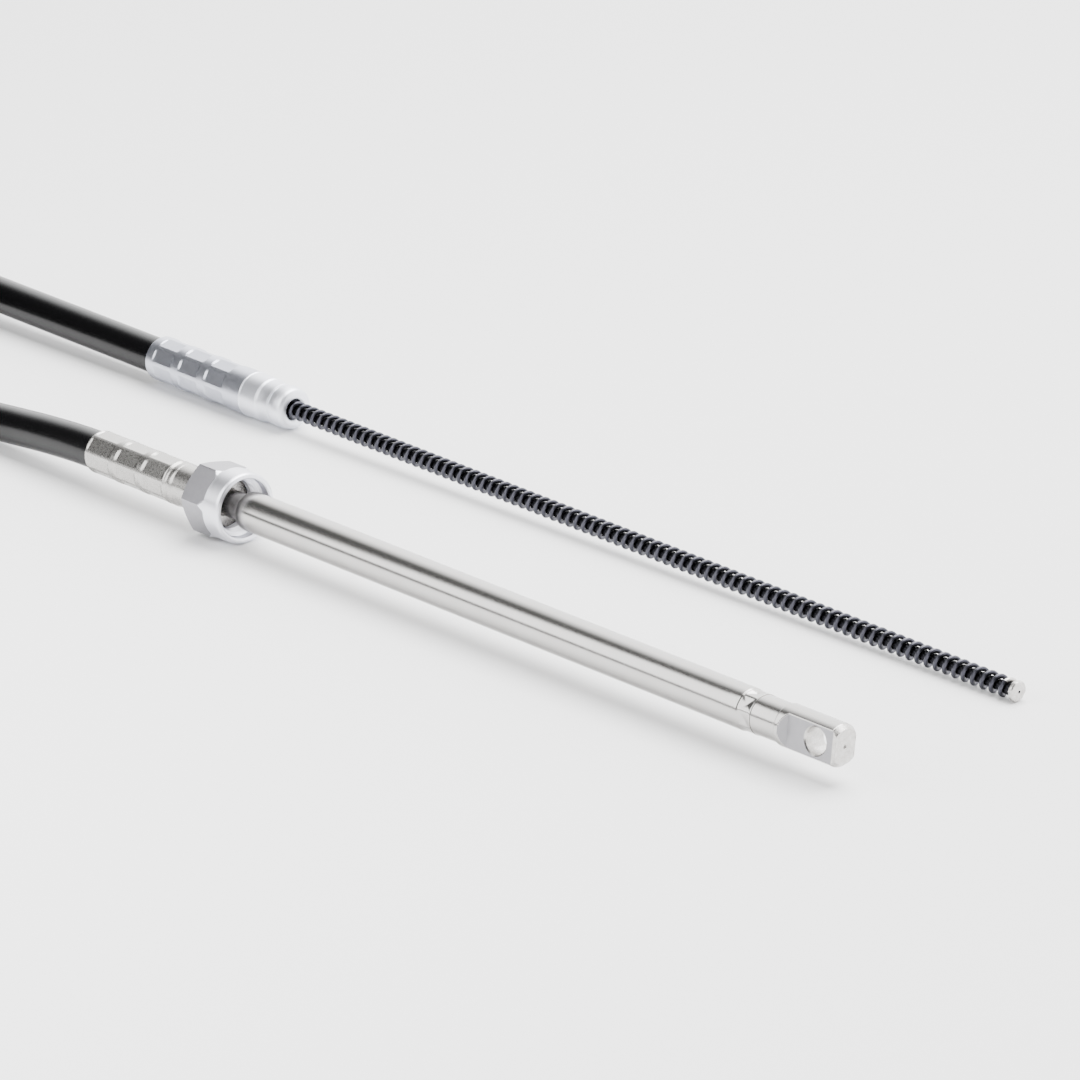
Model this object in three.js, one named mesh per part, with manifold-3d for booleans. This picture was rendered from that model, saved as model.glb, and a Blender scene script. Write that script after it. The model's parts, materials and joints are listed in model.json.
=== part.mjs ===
// A boat's mechanical steering cable: helm end with its helical core, black conduit, and output end
// with its coupling nut and its sliding ram. Millimetres, +Z up, +X from the ferrules to the ram's eye.
import * as THREE from "three";
import { mergeVertices } from "three/addons/utils/BufferGeometryUtils.js";
import Module from "manifold-3d";

const wasm = await Module();
wasm.setup();

// General
const GAP = 0.3; // between pieces that touch on the real cable
const ROUND = 32; // sides of a turned piece
const STROKE = 228.6; // how far the ram comes out

// Conduit: black jacket over its steel wires
const CONDUIT_R = 7.9;
const CONDUIT_SIDES = 12;

// Helical core: wire wound round an inner strand
const CORE_R = 4.08;
const WIRE = 1.44; // thickness of the wound wire
const WIRE_PITCH = 4.64;
const WIRE_STEPS = 8; // straight pieces in each turn
const CORE_OUT = 402.4; // from the ferrule's nose to the end of the winding
const CORE_IN = 12; // what stays inside the nose at rest
const CORE_TIP = 6.5; // fused end beyond the winding
const CORE_TIP_R = 3.6;
const CORE_CLEAR = 0.42; // round the core, in the ferrule and the conduit

// Helm ferrule: aluminium, measured back from its nose face
const HELM_LENGTH = 90.4;
const HELM_R = 9.7;
const HELM_SOCKET = 48; // depth that the conduit goes in
const HELM_BAND = 26.4; // nose face to the rear edge of the turned band
const HELM_BAND_LENGTH = 10.4;
const HELM_LINE = 0.15; // how far the band's rear edge stands out
const HELM_GROOVE = 8.2; // nose face to the bottom of the groove
const HELM_GROOVE_R = 8.35;
const HELM_NOSE_R = 9.3;
const HELM_NOSE_ROUND = 2.0;

// Crimp pads pressed into both ferrules
const PADS_ROUND = 8;
const PAD_WIDTH = 7; // wider than a pad gets, so that its depth sets its width
const HELM_PAD_DEPTH = 0.45;
const HELM_PAD_TURN = 16.5; // degrees from level to a pad's middle
const HELM_PAD_LENGTH = 12.9;
const HELM_PAD_ENDS = [85.7, 68.0, 50.4]; // rear ends of the three rows, back from the nose face
const OUTPUT_PAD_DEPTH = 0.4;
const OUTPUT_PAD_TURN = 6;
const OUTPUT_PAD_LENGTH = 14.0;
const OUTPUT_PAD_ENDS = [94.0, 76.4, 59.2]; // rear ends of the three rows, back from the ram's rear end

// Output ferrule: stainless steel, measured back from the ram's rear end
const OUTPUT_REAR = 95.5;
const OUTPUT_R = 8.95;
const OUTPUT_SOCKET = 47;
const OUTPUT_GROOVE = 44.4; // rear edge of the groove in front of the crimps
const OUTPUT_GROOVE_LENGTH = 2.4;
const OUTPUT_GROOVE_R = 8.3;
const OUTPUT_NECK_R = 8.8;
const FLANGE_R = 10.2; // holds the nut on
const FLANGE_LENGTH = 7.5;

// Guide tube: fixed in the output ferrule, with the ram over it and the rod inside it
const GUIDE_R = 5.6;
const GUIDE_BORE = 3.4;
const GUIDE_IN = 29; // inside the ferrule, from its front end
const GUIDE_SHORT = 6; // between its front end and the eye's shank, at rest
const ROD_R = 3.0;
const ROD_IN = 8; // how far the rod's rear end lies behind the ram's

// Coupling nut: hexagon, round collar and a 7/8-14 thread inside
const NUT_FLATS = 27;
const NUT_REAR = 25.5; // rear face, back from the ram's rear end
const NUT_HEX = 13.5; // length of the hexagon
const NUT_LENGTH = 22.8;
const NUT_COLLAR_R = 14.5;
const NUT_WALL = 3.5; // rear wall that the flange bears on
const NUT_THREAD_R = 11.1;
const NUT_MOUTH_R = 12.1;
const NUT_MOUTH = 4.0; // depth of the plain mouth in front of the thread
const NUT_CHAMFER = 1.0;
const NUT_TURN = 8.5; // degrees that the flats are turned from level

// Ram: stainless tube, from its rear end at 0
const RAM_R = 7.9375;
const RAM_LENGTH = 286.7;
const RAM_EDGE = 0.8; // rounding of its rear end
const RAM_CRIMP = 6.5; // length of the crimped front end
const RAM_CRIMP_R = 7.72;
const RUN_CLEAR = 0.35; // guide tube to ram

// Eye: steel end fitting swaged into the ram
const EYE_SHANK = 18.7; // length inside the ram
const EYE_NECK_R = 7.3;
const EYE_TAPER = 2.8;
const EYE_WAIST = 9.1; // plain length from the taper to the shoulder
const EYE_WAIST_R = 7.6;
const EYE_COLLAR = 3.9; // round length between the shoulder and the flats
const EYE_FLAT = 23.5; // length of the flats, up to the end face
const EYE_FLAT_RAMP = 2.4;
const EYE_THICK = 9.8;
const EYE_HOLE = 9.8; // from the hole's middle to the end face
const EYE_HOLE_R = 5.0;
const EYE_HOLE_CHAMFER = 0.5;
const EYE_END_CHAMFER = 1.6;
const EYE_TURN = 6; // degrees that the near flat looks up

// Where the two ends lie
const HELM_X = -96.7; // nose face of the helm ferrule
const HELM_Y = 102; // distance between the two ends' axes

// Coil of spare conduit
const COIL_X = -395;
const COIL_MIDDLE = 80; // radius of its two turns' middle
const COIL_TURNS = 2; // side by side

// Hand-chosen routes of the conduit between the ferrules and the coil
const HELM_ROUTE = [
  [-139.3, 102, 9.91], [-165, 102, 10.24], [-187, 102, 10.53], [-215, 102, 10.9], [-245, 102, 11.29],
  [-275, 102, 11.68], [-305, 102, 12.07], [-335, 102, 12.42], [-352, 102, 12.4], [-368, 102, 11.9],
  [-382, 102, 11.2], [-395, 102, 10.5],
];
const OUTPUT_ROUTE = [
  [-395, -58, 12.5], [-382, -58, 15.6], [-369, -58, 19.6], [-356, -58, 22.9], [-343, -57.6, 24.3],
  [-329, -56.3, 24.0], [-312, -52.9, 22.3], [-294, -47.4, 19.3], [-274, -39.3, 15.6], [-252, -28.7, 12.0],
  [-232, -19.0, 9.6], [-212, -10.7, 8.6], [-192, -4.8, 8.7], [-172, -1.3, 9.6], [-152, -0.1, 11.1],
  [-132, 0, 12.8], [-113, 0, 14.0], [-95.5, 0, 14.5], [-75, 0, 14.5], [-49, 0, 14.5],
];

// A closed mesh as a solid for joining and cutting.
function solidOf(geometry) {
  const bare = geometry.index ? geometry.toNonIndexed() : geometry.clone();
  bare.deleteAttribute("normal");
  bare.deleteAttribute("uv");
  const merged = mergeVertices(bare, 1e-4);
  const corners = merged.index.array;
  const kept = [];
  for (let i = 0; i < corners.length; i += 3) {
    const [a, b, c] = [corners[i], corners[i + 1], corners[i + 2]];
    if (a !== b && b !== c && c !== a) kept.push(a, b, c);
  }
  return new wasm.Manifold(
    new wasm.Mesh({
      numProp: 3,
      vertProperties: merged.attributes.position.array,
      triVerts: new Uint32Array(kept),
    }),
  );
}

// A solid back as a geometry.
function geometryOf(solid) {
  const mesh = solid.getMesh();
  const geometry = new THREE.BufferGeometry();
  geometry.setAttribute("position", new THREE.BufferAttribute(mesh.vertProperties, 3));
  geometry.setIndex(new THREE.BufferAttribute(mesh.triVerts, 1));
  return geometry;
}

// Turns a profile of [x, radius] points round the X axis.
function turned(profile, sides = ROUND) {
  const points = profile.map(([x, r]) => new THREE.Vector2(r, x));
  return new THREE.LatheGeometry(points, sides).rotateZ(-Math.PI / 2);
}

// A round bar along X from x0 to x1.
function bar(x0, x1, r, sides = ROUND) {
  return turned([[x0, 0], [x0, r], [x1, r], [x1, 0]], sides);
}

// A solid prism: an outline in the XY plane, carried from z0 to z1.
function prism(outline, z0, z1) {
  const shape = new THREE.Shape(outline.map(([x, y]) => new THREE.Vector2(x, y)));
  return new THREE.ExtrudeGeometry(shape, { depth: z1 - z0, bevelEnabled: false }).translate(0, 0, z0);
}

// Presses rows of flat crimp pads into a ferrule of radius r.
function pressPads(ferrule, r, pads) {
  let pressed = ferrule;
  const { rearEnds, length, depth, turn } = pads;
  for (const end of rearEnds) {
    for (let k = 0; k < PADS_ROUND; k += 1) {
      const pad = new THREE.BoxGeometry(length, PAD_WIDTH, 3 * depth)
        .translate(length / 2 - end, 0, r + depth / 2)
        .rotateX((2 * Math.PI * k) / PADS_ROUND + THREE.MathUtils.degToRad(turn));
      pressed = pressed.subtract(solidOf(pad));
    }
  }
  return pressed;
}

// The helm ferrule, with its nose face at 0 and its body behind it.
function helmFerrule() {
  const rear = -HELM_LENGTH;
  const bandFront = HELM_BAND_LENGTH - HELM_BAND;
  const bore = CORE_R + CORE_CLEAR;
  const socket = CONDUIT_R + GAP;
  const noseRear = -HELM_GROOVE + 1.8;
  const body = turned([
    [rear, socket], [rear, HELM_R - 0.6], [rear + 0.8, HELM_R], [-HELM_BAND - 0.6, HELM_R],
    [-HELM_BAND, HELM_R + HELM_LINE], [-HELM_BAND + 0.6, HELM_R - 0.1], [bandFront, HELM_R - 0.1],
    [bandFront + 1.4, HELM_R - 0.75], [-HELM_GROOVE - 2.6, HELM_GROOVE_R + 0.5],
    [-HELM_GROOVE, HELM_GROOVE_R], [-HELM_GROOVE + 0.5, HELM_GROOVE_R + 0.05], [noseRear, HELM_NOSE_R - 0.15],
    [-4.4, HELM_NOSE_R], [-HELM_NOSE_ROUND, HELM_NOSE_R - 0.5], [-0.6, HELM_NOSE_R - 1.2],
    [0, HELM_NOSE_R - HELM_NOSE_ROUND], [0, bore + 0.6], [-0.6, bore],
    [rear + HELM_SOCKET, bore], [rear + HELM_SOCKET, socket], [rear, socket],
  ]);
  const pads = {
    rearEnds: HELM_PAD_ENDS, length: HELM_PAD_LENGTH, depth: HELM_PAD_DEPTH, turn: HELM_PAD_TURN,
  };
  return geometryOf(pressPads(solidOf(body), HELM_R, pads));
}

// The strand inside the winding, with the fused end of the core.
function coreStrand() {
  const r = CORE_R - WIRE - GAP;
  const inner = r * Math.cos(Math.PI / WIRE_STEPS);
  const end = CORE_OUT + GAP;
  return turned([
    [-CORE_IN, 0], [-CORE_IN, inner], [end, inner], [end, CORE_TIP_R], [end + CORE_TIP - 1.2, CORE_TIP_R],
    [end + CORE_TIP - GAP, CORE_TIP_R - 1.1], [end + CORE_TIP - GAP, 0],
  ], 16);
}

// The centre line of the wound wire: a left-handed helix along X.
class Winding extends THREE.Curve {
  constructor(radius, pitch, length) {
    super();
    this.radius = radius;
    this.pitch = pitch;
    this.length = length;
  }

  turn(t) {
    return (2 * Math.PI * t * this.length) / this.pitch;
  }

  getPoint(t) {
    const a = this.turn(t);
    return new THREE.Vector3(t * this.length, this.radius * Math.cos(a), -this.radius * Math.sin(a));
  }

  // Frames whose normals point straight out from the axis, so that the wire keeps its face outwards.
  computeFrenetFrames(steps) {
    const tangents = [];
    const normals = [];
    const binormals = [];
    for (let i = 0; i <= steps; i += 1) {
      const a = this.turn(i / steps);
      const rise = this.pitch / (2 * Math.PI * this.radius);
      const tangent = new THREE.Vector3(rise, -Math.sin(a), -Math.cos(a)).normalize();
      const normal = new THREE.Vector3(0, Math.cos(a), -Math.sin(a));
      tangents.push(tangent);
      normals.push(normal);
      binormals.push(new THREE.Vector3().crossVectors(tangent, normal));
    }
    return { tangents, normals, binormals };
  }
}

// The wire wound round the strand, with four sides and a corner outwards.
function helixWire() {
  const half = WIRE / 2;
  const length = CORE_IN + CORE_OUT - WIRE;
  const path = new Winding(CORE_R - half, WIRE_PITCH, length);
  const steps = Math.round((WIRE_STEPS * length) / WIRE_PITCH);
  path.arcLengthDivisions = steps;
  const section = new THREE.Shape([
    new THREE.Vector2(half, 0), new THREE.Vector2(0, half), new THREE.Vector2(-half, 0), new THREE.Vector2(0, -half),
  ]);
  return new THREE.ExtrudeGeometry(section, { steps, extrudePath: path }).translate(half - CORE_IN, 0, 0);
}

// The output ferrule, up to the flange inside the nut.
function outputFerrule() {
  const socket = CONDUIT_R + GAP;
  const rear = -OUTPUT_REAR;
  const grooveFront = OUTPUT_GROOVE_LENGTH - OUTPUT_GROOVE;
  const flangeRear = NUT_WALL + GAP - NUT_REAR;
  const front = flangeRear + FLANGE_LENGTH;
  const guide = GUIDE_R + GAP;
  const step = front - GUIDE_IN - GAP;
  const body = turned([
    [rear, socket], [rear, OUTPUT_R - 0.4], [rear + 0.6, OUTPUT_R], [-OUTPUT_GROOVE, OUTPUT_R],
    [-OUTPUT_GROOVE + 0.5, OUTPUT_GROOVE_R], [grooveFront - 0.5, OUTPUT_GROOVE_R], [grooveFront, OUTPUT_R],
    [grooveFront + 1.6, OUTPUT_R], [grooveFront + 2, OUTPUT_NECK_R], [flangeRear, OUTPUT_NECK_R],
    [flangeRear, FLANGE_R], [front, FLANGE_R], [front, guide], [step, guide], [step, GUIDE_BORE],
    [rear + OUTPUT_SOCKET, GUIDE_BORE], [rear + OUTPUT_SOCKET, socket], [rear, socket],
  ]);
  const pads = {
    rearEnds: OUTPUT_PAD_ENDS, length: OUTPUT_PAD_LENGTH, depth: OUTPUT_PAD_DEPTH, turn: OUTPUT_PAD_TURN,
  };
  return geometryOf(pressPads(solidOf(body), OUTPUT_R, pads));
}

// The tube that the ram slides on.
function guideTube() {
  const front = NUT_WALL + GAP - NUT_REAR + FLANGE_LENGTH;
  const rear = front - GUIDE_IN;
  const end = RAM_LENGTH - EYE_SHANK - GUIDE_SHORT;
  return turned([[rear, GUIDE_BORE], [rear, GUIDE_R], [end, GUIDE_R], [end, GUIDE_BORE], [rear, GUIDE_BORE]]);
}

// The rod inside the guide tube that pushes and pulls the ram.
function innerRod() {
  return bar(-ROD_IN, RAM_LENGTH - EYE_SHANK - GAP, ROD_R, 16);
}

// The coupling nut: a hexagon with its corners taken off, a round collar, and the bore.
function couplingNut() {
  const rear = -NUT_REAR;
  const front = rear + NUT_LENGTH;
  const corner = NUT_FLATS / Math.sqrt(3);
  const outline = [];
  for (let k = 0; k < 6; k += 1) {
    const a = (Math.PI / 3) * k - THREE.MathUtils.degToRad(NUT_TURN);
    outline.push([corner * Math.cos(a), corner * Math.sin(a)]);
  }
  const hexagon = prism(outline, rear, rear + NUT_HEX)
    .applyMatrix4(new THREE.Matrix4().set(0, 0, 1, 0, -1, 0, 0, 0, 0, -1, 0, 0, 0, 0, 0, 1));
  const rim = NUT_FLATS / 2 + 0.5;
  const envelope = turned([
    [rear, 0], [rear, rim], [rear + 1, corner + 0.1], [rear + NUT_HEX - 1, corner + 0.1],
    [rear + NUT_HEX, NUT_COLLAR_R], [rear + NUT_HEX, 0],
  ], 48);
  const collar = turned([
    [rear + NUT_HEX - 2, 0], [rear + NUT_HEX - 2, NUT_FLATS / 2 - 1], [rear + NUT_HEX - 1.4, NUT_COLLAR_R],
    [front - NUT_CHAMFER / 2, NUT_COLLAR_R], [front, NUT_COLLAR_R - NUT_CHAMFER / 2], [front, 0],
  ], 48);
  const bore = turned([
    [rear - 1, 0], [rear - 1, OUTPUT_NECK_R + GAP], [rear + NUT_WALL, OUTPUT_NECK_R + GAP],
    [rear + NUT_WALL, NUT_THREAD_R], [front - NUT_MOUTH, NUT_THREAD_R], [front - NUT_MOUTH + 0.6, NUT_MOUTH_R],
    [front + 1, NUT_MOUTH_R], [front + 1, 0],
  ], 48);
  return geometryOf(
    solidOf(hexagon).intersect(solidOf(envelope)).add(solidOf(collar)).subtract(solidOf(bore)),
  );
}

// The ram tube, bored to run on the guide tube and crimped onto the eye's shank.
function ramTube() {
  const bore = GUIDE_R + RUN_CLEAR;
  const crimp = RAM_LENGTH - RAM_CRIMP;
  return turned([
    [0, bore], [0, RAM_R - RAM_EDGE], [RAM_EDGE / 3, RAM_R - RAM_EDGE / 3], [RAM_EDGE, RAM_R],
    [crimp, RAM_R], [crimp + 0.5, RAM_CRIMP_R], [RAM_LENGTH, RAM_CRIMP_R], [RAM_LENGTH, bore], [0, bore],
  ]);
}

// Places along the ram: where the eye's neck, shoulder and flats start, and its end face.
function eyeStations() {
  const neck = RAM_LENGTH + GAP;
  const shoulder = neck + EYE_TAPER + EYE_WAIST;
  const flat = shoulder + EYE_COLLAR;
  return { neck, shoulder, flat, end: flat + EYE_FLAT };
}

// The outline that mills one flat of the eye, with its sloping run-out.
function flatCutter(side) {
  const { flat, end } = eyeStations();
  const half = EYE_THICK / 2;
  const beyond = RAM_R + 1;
  return prism([
    [flat, half], [end + 1, half], [end + 1, beyond], [flat - EYE_FLAT_RAMP, beyond],
  ], -beyond, beyond).rotateX(side * Math.PI * 0.5 - Math.PI * 0.5);
}

// The eye: a turned fitting with two flats and a cross hole for the link arm's bolt.
function ramEye() {
  const { neck, shoulder, end } = eyeStations();
  const shankRear = RAM_LENGTH - EYE_SHANK;
  const shank = GUIDE_R + RUN_CLEAR - GAP;
  const body = turned([
    [shankRear, 0], [shankRear, shank], [neck, shank], [neck, EYE_NECK_R], [neck + EYE_TAPER, EYE_WAIST_R],
    [shoulder, EYE_WAIST_R], [shoulder + 0.4, RAM_R], [end - EYE_END_CHAMFER, RAM_R],
    [end, RAM_R - EYE_END_CHAMFER * 0.85], [end, 0],
  ]);
  const half = EYE_THICK / 2;
  const hole = new THREE.LatheGeometry([
    [0, -half - 1], [EYE_HOLE_R + EYE_HOLE_CHAMFER + 1, -half - 1], [EYE_HOLE_R, -half + EYE_HOLE_CHAMFER],
    [EYE_HOLE_R, half - EYE_HOLE_CHAMFER], [EYE_HOLE_R + EYE_HOLE_CHAMFER + 1, half + 1], [0, half + 1],
  ].map(([r, y]) => new THREE.Vector2(r, y)), ROUND).translate(end - EYE_HOLE, 0, 0);
  const cut = solidOf(body).subtract(solidOf(flatCutter(1))).subtract(solidOf(flatCutter(-1)));
  return geometryOf(cut.subtract(solidOf(hole))).rotateX(-THREE.MathUtils.degToRad(EYE_TURN));
}

// A tube of the conduit's radius along a smooth curve through the given points.
function tubeAlong(route, steps) {
  const path = new THREE.CatmullRomCurve3(route.map(([x, y, z]) => new THREE.Vector3(x, y, z)));
  const section = new THREE.Shape();
  for (let k = 0; k < CONDUIT_SIDES; k += 1) {
    const a = (2 * Math.PI * (k + 0.5)) / CONDUIT_SIDES;
    section[k ? "lineTo" : "moveTo"](CONDUIT_R * Math.cos(a), CONDUIT_R * Math.sin(a));
  }
  return new THREE.ExtrudeGeometry(section, { steps, extrudePath: path });
}

// The ring that the coil fills, grown by a margin all round.
function coilRing(margin) {
  const half = COIL_TURNS * CONDUIT_R + margin;
  const edge = CONDUIT_R * 0.6;
  const low = -margin;
  const high = 2 * CONDUIT_R + margin;
  const [inner, outer] = [COIL_MIDDLE - half, COIL_MIDDLE + half];
  const profile = [
    [inner + edge, low], [outer - edge, low], [outer, low + edge], [outer, high - edge],
    [outer - edge, high], [inner + edge, high], [inner, high - edge], [inner, low + edge], [inner + edge, low],
  ];
  return new THREE.LatheGeometry(profile.map(([r, y]) => new THREE.Vector2(r, y)), 48)
    .rotateX(Math.PI / 2)
    .translate(COIL_X, HELM_Y - COIL_MIDDLE - CONDUIT_R, 0);
}

// The conduit from the helm ferrule to the coil, hollow as far as the core comes back.
function helmRun(helmEnd) {
  const back = CORE_IN + STROKE + 4;
  const bore = bar(-back, 0, CORE_R + CORE_CLEAR).applyMatrix4(helmEnd.matrixWorld);
  return geometryOf(
    solidOf(tubeAlong(HELM_ROUTE, 20)).subtract(solidOf(bore)).subtract(solidOf(coilRing(GAP))),
  );
}

// The conduit from the coil to the output ferrule.
function outputRun() {
  return geometryOf(solidOf(tubeAlong(OUTPUT_ROUTE, 26)).subtract(solidOf(coilRing(GAP))));
}

const finishes = {
  aluminium: new THREE.MeshStandardMaterial({ color: "#c9ccd6", roughness: 0.3, metalness: 1 }),
  stainless: new THREE.MeshStandardMaterial({ color: "#aaa8a4", roughness: 0.35, metalness: 1 }),
  plated: new THREE.MeshStandardMaterial({ color: "#cfcfd6", roughness: 0.3, metalness: 1 }),
  darkSteel: new THREE.MeshStandardMaterial({ color: "#4a4a4c", roughness: 0.4, metalness: 1 }),
  jacket: new THREE.MeshStandardMaterial({ color: "#0d0d10", roughness: 0.35, metalness: 0 }),
};

function piece(name, geometry, finish) {
  const mesh = new THREE.Mesh(geometry, finishes[finish]);
  mesh.name = name;
  return mesh;
}

// Leans an end's group about the floor so that both its parts that touch the floor do so.
const helmLean = Math.atan((HELM_R - CORE_R) / (CORE_OUT + HELM_BAND));
const helmEnd = new THREE.Group();
helmEnd.rotation.y = helmLean;
helmEnd.position.set(HELM_X, HELM_Y, HELM_R * Math.cos(helmLean) - HELM_BAND * Math.sin(helmLean));
helmEnd.updateMatrixWorld(true);
helmEnd.add(
  piece("helm_ferrule", helmFerrule(), "aluminium"),
  piece("core_strand", coreStrand(), "darkSteel"),
  piece("helix_wire", helixWire(), "darkSteel"),
);

// The output end lies level on the nut's collar.
const outputEnd = new THREE.Group();
outputEnd.position.z = NUT_COLLAR_R;
outputEnd.add(
  piece("output_ferrule", outputFerrule(), "stainless"),
  piece("guide_tube", guideTube(), "stainless"),
  piece("coupling_nut", couplingNut(), "plated"),
  piece("inner_rod", innerRod(), "darkSteel"),
  piece("ram_tube", ramTube(), "stainless"),
  piece("ram_eye", ramEye(), "stainless"),
);

const conduit = new THREE.Group();
conduit.add(
  piece("conduit_helm_run", helmRun(helmEnd), "jacket"),
  piece("conduit_coil", coilRing(0), "jacket"),
  piece("conduit_output_run", outputRun(), "jacket"),
);

// The origin is on the floor, under the middle of everything but the conduit.
const cable = new THREE.Group();
cable.add(helmEnd, outputEnd);
const box = new THREE.Box3().setFromObject(cable, true);
cable.add(conduit);
cable.position.set(-(box.min.x + box.max.x) / 2, -(box.min.y + box.max.y) / 2, -box.min.z);

export default cable;
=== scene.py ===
"""Looks of a boat steering cable: both ends, its coil of conduit, a white table and a studio.

Sizes are in millimetres, and turn to metres where a mesh is made. Each end has a straight centre
line, and a point on a piece is given by its station along that line, its radius and its angle
round it, counted from +Y towards +Z.
"""

import json
import logging
import math
from collections.abc import Callable, Sequence
from dataclasses import dataclass, field
from enum import Enum

import bpy
import numpy as np
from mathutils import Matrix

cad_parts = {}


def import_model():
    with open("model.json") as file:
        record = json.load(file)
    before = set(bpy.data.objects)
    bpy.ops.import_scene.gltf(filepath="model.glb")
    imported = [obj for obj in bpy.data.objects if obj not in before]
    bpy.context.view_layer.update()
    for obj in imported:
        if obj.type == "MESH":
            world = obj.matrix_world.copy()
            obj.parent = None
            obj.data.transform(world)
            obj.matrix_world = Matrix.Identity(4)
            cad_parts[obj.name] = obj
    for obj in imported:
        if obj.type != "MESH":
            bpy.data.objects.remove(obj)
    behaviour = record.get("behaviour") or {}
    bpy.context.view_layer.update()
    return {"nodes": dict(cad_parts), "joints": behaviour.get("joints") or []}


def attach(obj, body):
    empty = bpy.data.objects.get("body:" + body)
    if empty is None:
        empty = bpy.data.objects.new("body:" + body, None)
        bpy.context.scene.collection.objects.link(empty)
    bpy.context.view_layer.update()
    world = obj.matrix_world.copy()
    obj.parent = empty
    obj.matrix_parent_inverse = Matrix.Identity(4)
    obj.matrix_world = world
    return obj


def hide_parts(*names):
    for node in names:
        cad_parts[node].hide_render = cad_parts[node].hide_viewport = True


MM = 0.001
TAU = 2 * math.pi
LOG = logging.getLogger("steering_cable")

MARK_SHAPE = 0.03  # width of a tool mark over its length
ROUTE_RAM_HEIGHT = 14.5  # of the ram's centre line over the floor, in the conduit's route
EYE_SHARP_DEG = 14.0

Point = tuple[float, float, float]
Corner = tuple[float, float, float]  # station, radius and rounding of one corner of a profile


def linear(hex_colour: str) -> tuple[float, float, float, float]:
    """Turns an sRGB hex colour into a linear one.

    Args:
        hex_colour: a colour such as "#8a8f98".

    Returns:
        Red, green, blue and alpha, each from 0 to 1: each channel is divided by 12.92 where it is
        dark, and raised to the power 2.4 elsewhere.
    """
    channels = [int(hex_colour[i : i + 2], 16) / 255 for i in (1, 3, 5)]
    return (*[c / 12.92 if c <= 0.04045 else ((c + 0.055) / 1.055) ** 2.4 for c in channels], 1.0)


def add_node(
    tree: bpy.types.NodeTree, kind: str, links: dict | None = None, **settings
) -> bpy.types.Node:
    """Adds one node with its settings and links.

    Args:
        tree: the node tree.
        kind: the node's type name.
        links: input socket to a value or to another node's output socket.
        settings: the node's own properties.

    Returns:
        The new node.
    """
    node = tree.nodes.new(kind)
    for name, value in settings.items():
        setattr(node, name, value)
    for socket, value in (links or {}).items():
        if isinstance(value, bpy.types.NodeSocket):
            tree.links.new(value, node.inputs[socket])
        else:
            node.inputs[socket].default_value = value
    return node


class Grain(Enum):
    """How a surface's fine marks run."""

    TURNED = "round the piece"
    DRAWN = "along the piece"
    EVEN = "the same each way"


@dataclass(frozen=True)
class Metal:
    """A bare or plated metal with fine tool marks and slightly uneven gloss."""

    name: str
    colour: str
    dark_colour: str
    roughness: float
    spread: float  # how far the roughness varies each way
    grain: Grain = Grain.EVEN
    grain_mm: float = 0.5  # width of one mark
    bump_mm: float = 0.004
    patch_mm: float = 6.0  # size of the uneven patches

    def material(self) -> bpy.types.Material:
        """Builds the material."""
        material = bpy.data.materials.new(self.name)
        material.use_nodes = True
        tree = material.node_tree
        shader = tree.nodes["Principled BSDF"]
        place = add_node(tree, "ShaderNodeTexCoord").outputs["Object"]
        fine, long = 1 / (self.grain_mm * MM), MARK_SHAPE / (self.grain_mm * MM)
        along = long if self.grain is Grain.DRAWN else fine
        across = long if self.grain is Grain.TURNED else fine
        stretched = add_node(
            tree, "ShaderNodeMapping", {"Vector": place, "Scale": (along, across, across)}
        )
        marks = add_node(
            tree, "ShaderNodeTexNoise",
            {"Vector": stretched.outputs[0], "Scale": 1.0, "Detail": 3.0, "Roughness": 0.6},
        )
        patches = add_node(
            tree, "ShaderNodeTexNoise",
            {"Vector": place, "Scale": 1 / (self.patch_mm * MM), "Detail": 2.0},
        )
        tint = add_node(
            tree, "ShaderNodeMix",
            {0: patches.outputs[0], 6: linear(self.dark_colour), 7: linear(self.colour)},
            data_type="RGBA",
        )
        # The noise keeps mostly between 0.3 and 0.7
        gloss = add_node(
            tree, "ShaderNodeMapRange",
            {
                "Value": marks.outputs[0], "From Min": 0.3, "From Max": 0.7,
                "To Min": self.roughness - self.spread,
                "To Max": self.roughness + self.spread,
            },
        )
        bump = add_node(
            tree, "ShaderNodeBump",
            {"Height": marks.outputs[0], "Strength": 1.0, "Distance": self.bump_mm * MM},
        )
        shader.inputs["Metallic"].default_value = 1.0
        tree.links.new(tint.outputs[2], shader.inputs["Base Color"])
        tree.links.new(gloss.outputs[0], shader.inputs["Roughness"])
        tree.links.new(bump.outputs[0], shader.inputs["Normal"])
        return material


@dataclass(frozen=True)
class Jacket:
    """Smooth extruded black plastic: a deep black with a soft sheen."""

    name: str = "black extruded polyethylene"
    colour: str = "#040405"
    roughness: float = 0.26
    sheen: float = 0.28
    wave_mm: float = 9.0  # slow waves left by the die
    wave_height_mm: float = 0.05

    def material(self) -> bpy.types.Material:
        """Builds the material."""
        material = bpy.data.materials.new(self.name)
        material.use_nodes = True
        tree = material.node_tree
        shader = tree.nodes["Principled BSDF"]
        place = add_node(tree, "ShaderNodeTexCoord").outputs["Object"]
        waves = add_node(
            tree, "ShaderNodeTexNoise",
            {"Vector": place, "Scale": 1 / (self.wave_mm * MM), "Detail": 1.0},
        )
        bump = add_node(
            tree, "ShaderNodeBump",
            {"Height": waves.outputs[0], "Strength": 1.0, "Distance": self.wave_height_mm * MM},
        )
        shader.inputs["Base Color"].default_value = linear(self.colour)
        shader.inputs["Roughness"].default_value = self.roughness
        shader.inputs["Specular IOR Level"].default_value = self.sheen
        tree.links.new(bump.outputs[0], shader.inputs["Normal"])
        return material


# Ground stainless steel: satin, with very fine even marks that soften its highlight
GROUND_STEEL = Metal(
    "ground stainless steel", "#b9b7b5", "#b0aeab", 0.2, spread=0.03, bump_mm=0.001, patch_mm=9.0
)
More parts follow.
